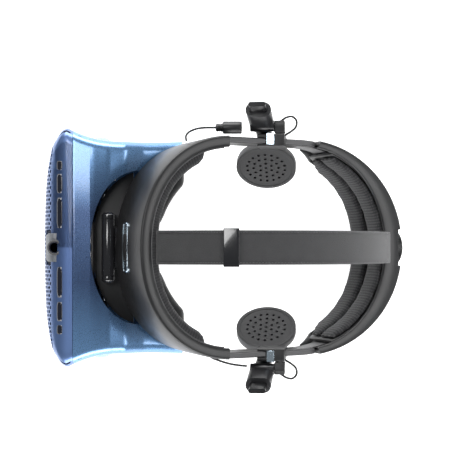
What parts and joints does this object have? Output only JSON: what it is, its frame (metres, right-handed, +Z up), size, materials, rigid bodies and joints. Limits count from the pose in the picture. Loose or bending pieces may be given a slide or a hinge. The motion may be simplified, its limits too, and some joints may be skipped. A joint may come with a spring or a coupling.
{
  "type": "vr headset",
  "caption": "Head-worn display: vented visor on a flip-up hinge, sloping head ring with padded front and rear, size dial, top strap and swing-down ear speakers.",
  "frame": {"origin": "under the middle of the object's box, on the surface it stands on", "axes": "+Z up, the visor faces -Y, the wearer's left is +X"},
  "size_m": [0.2384, 0.3162, 0.1712],
  "materials": {
    "blue_shell": "satin metallic paint over moulded plastic",
    "blue_front": "satin metallic paint over moulded plastic",
    "front_mesh": "dark backing",
    "black_gloss": "polished",
    "black_satin": "satin",
    "dark_plastic": "fine texture",
    "pod_plastic": "satin",
    "bar_plastic": "satin",
    "ear_plastic": "soft touch",
    "ear_mesh": "perforated",
    "pad_fabric": "ribbed spacer mesh",
    "skin_foam": "smooth skin over foam",
    "strap_textile": "brushed loop textile",
    "rack_strip": "flexible strip",
    "bright_metal": "polished",
    "pin_steel": "ground",
    "sink_metal": "matt",
    "lead_rubber": "matt jacket",
    "board": "solder mask",
    "panel": "display glass",
    "camera_rim": "satin",
    "camera_dark": "polished",
    "camera_blue": "clear coated",
    "lens": "polished"
  },
  "bodies": {
    "halo": {"halo_shell": "black_satin", "halo_liner": "dark_plastic", "forehead_pad": "pad_fabric", "badge_plate": "bright_metal", "hinge_bracket": "black_gloss", "hinge_pin": "pin_steel", "arm_left": "dark_plastic", "arm_right": "dark_plastic", "clip_left": "dark_plastic", "clip_right": "dark_plastic", "clip_strips": "bright_metal", "hanger_pins": "pin_steel", "lead_connector": "dark_plastic", "front_lead_right": "lead_rubber", "front_lead_left": "lead_rubber", "loop_lead_left": "lead_rubber", "loop_lead_right": "lead_rubber", "top_strap": "strap_textile", "strap_buckle": "black_gloss", "rack_straps": "rack_strip"},
    "visor": {"faceplate": "blue_front", "faceplate_backing": "front_mesh", "visor_housing": "blue_shell", "recess_cover": "dark_plastic", "hinge_caps": "black_gloss", "chassis": "dark_plastic", "main_board": "board", "heat_sink": "sink_metal", "fan": "dark_plastic", "display_panels": "panel", "centre_cameras": "camera_rim", "front_cameras": "camera_dark", "side_cameras": "camera_blue", "gasket_frame": "dark_plastic", "face_cushion": "skin_foam", "cable_port": "dark_plastic", "housing_screws": "pin_steel"},
    "ipd": {"ipd_wheel": "dark_plastic", "lens_screw": "pin_steel"},
    "lens_left": {"lens_holder_left": "dark_plastic", "lens_left": "lens"},
    "lens_right": {"lens_holder_right": "dark_plastic", "lens_right": "lens"},
    "button": {"power_button": "dark_plastic"},
    "rear": {"rear_shell": "black_satin", "rear_plate": "dark_plastic", "rear_pad_upper": "pad_fabric", "rear_pad_lower": "pad_fabric"},
    "dial": {"size_dial": "dark_plastic", "dial_pinion": "pin_steel"},
    "swing_left": {"sleeve_left": "pod_plastic"},
    "swing_right": {"sleeve_right": "pod_plastic"},
    "hanger_left": {"hanger_left": "bar_plastic"},
    "hanger_right": {"hanger_right": "bar_plastic"},
    "ear_left": {"ear_cup_left": "ear_plastic", "ear_grille_left": "ear_mesh"},
    "ear_right": {"ear_cup_right": "ear_plastic", "ear_grille_right": "ear_mesh"}
  },
  "joints": [
    {"name": "visor_flip", "type": "hinge", "parent": "halo", "child": "visor", "pos_m": [0, -0.09867, 0.098], "axis": [-1, 0, 0], "range_deg": [0, 80]},
    {"name": "cradle_slide", "type": "slide", "parent": "halo", "child": "rear", "axis": [0, 0.9063, -0.4226], "range_m": [0, 0.025], "deforming": ["top_strap", "rack_straps"]},
    {"name": "dial_turn", "type": "hinge", "parent": "rear", "child": "dial", "pos_m": [0, 0.14364, 0.03365], "axis": [0, 0.9063, -0.4226], "range_deg": [0, 286.68]},
    {"name": "ear_swing_left", "type": "hinge", "parent": "halo", "child": "swing_left", "pos_m": [0.1024, 0.02993, 0.09621], "axis": [0, -0.994, -0.1097], "range_deg": [0, 35], "deforming": ["loop_lead_left"]},
    {"name": "ear_height_left", "type": "slide", "parent": "swing_left", "child": "hanger_left", "axis": [-0.225, 0.1069, -0.9685], "range_m": [0, 0.012]},
    {"name": "ear_tilt_left", "type": "hinge", "parent": "hanger_left", "child": "ear_left", "pos_m": [0.08534, 0.03692, 0.03287], "axis": [0, -0.994, -0.1097], "range_deg": [-4, 36]},
    {"name": "ear_swing_right", "type": "hinge", "parent": "halo", "child": "swing_right", "pos_m": [-0.1024, 0.02993, 0.09621], "axis": [0, 0.994, 0.1097], "range_deg": [0, 35], "deforming": ["loop_lead_right"]},
    {"name": "ear_height_right", "type": "slide", "parent": "swing_right", "child": "hanger_right", "axis": [0.225, 0.1069, -0.9685], "range_m": [0, 0.012]},
    {"name": "ear_tilt_right", "type": "hinge", "parent": "hanger_right", "child": "ear_right", "pos_m": [-0.08534, 0.03692, 0.03287], "axis": [0, 0.994, 0.1097], "range_deg": [-4, 36]},
    {"name": "ipd_turn", "type": "hinge", "parent": "visor", "child": "ipd", "pos_m": [-0.07, -0.11307, 0.012], "axis": [1, 0, 0], "range_deg": [-126.2, 126.2]},
    {"name": "lens_left_slide", "type": "slide", "parent": "visor", "child": "lens_left", "axis": [1, 0, 0], "range_m": [-0.0028, 0.0028]},
    {"name": "lens_right_slide", "type": "slide", "parent": "visor", "child": "lens_right", "axis": [-1, 0, 0], "range_m": [-0.0028, 0.0028]},
    {"name": "button_press", "type": "slide", "parent": "visor", "child": "button", "axis": [-1, 0, 0], "range_m": [0, 0.001], "stiffness_N_per_m": 400}
  ],
  "couplings": [
    {"joint": "dial_turn", "follows": "cradle_slide", "rad_per_m": 200},
    {"joint": "ipd_turn", "follows": "lens_left_slide", "rad_per_m": 785.4},
    {"joint": "lens_right_slide", "follows": "lens_left_slide", "ratio": 1}
  ]
}
